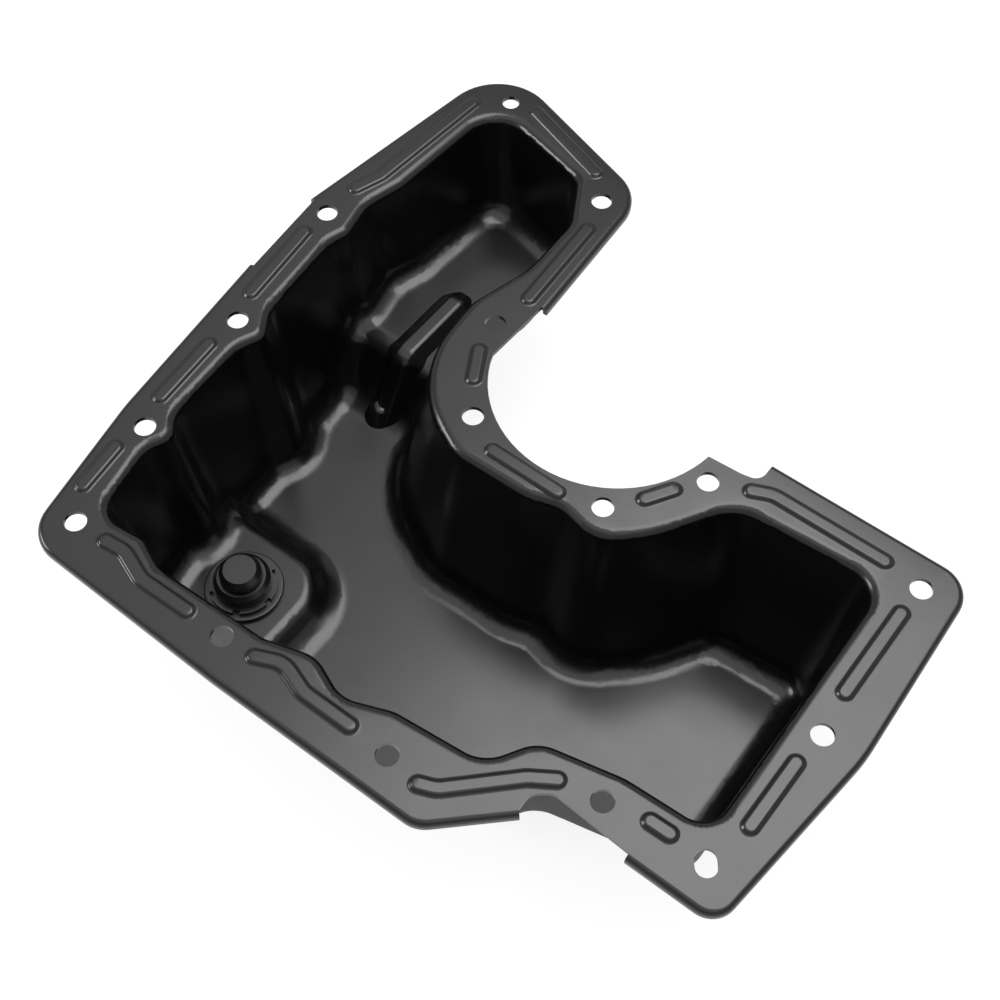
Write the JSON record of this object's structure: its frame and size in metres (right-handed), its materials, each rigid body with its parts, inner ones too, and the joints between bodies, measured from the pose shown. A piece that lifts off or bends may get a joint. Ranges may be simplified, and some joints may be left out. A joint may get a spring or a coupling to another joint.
{
  "type": "engine oil pan",
  "caption": "Pressed sheet steel engine oil pan with a crescent cut-out, stepped well, beaded bolting flange, weld nut and drain plug.",
  "frame": {"origin": "centre of the crescent cut-out on the gasket face", "axes": "+Z out of the mouth, square to the gasket face; +X along the straight lower edge of the flange; +Y up the narrow arm"},
  "size_m": [0.2577, 0.2421, 0.068],
  "materials": {
    "coated_steel": "satin black",
    "coated_nut": "satin black",
    "coated_plug": "satin black",
    "washer_metal": "dull"
  },
  "bodies": {
    "pan": {"pan_body": "coated_steel", "drain_nut": "coated_nut"},
    "plug": {"drain_plug": "coated_plug", "sealing_washer": "washer_metal"}
  },
  "joints": [
    {"name": "drain_plug_withdraw", "type": "slide", "parent": "pan", "child": "plug", "axis": [0, 0, -1], "range_m": [0, 0.025]}
  ]
}
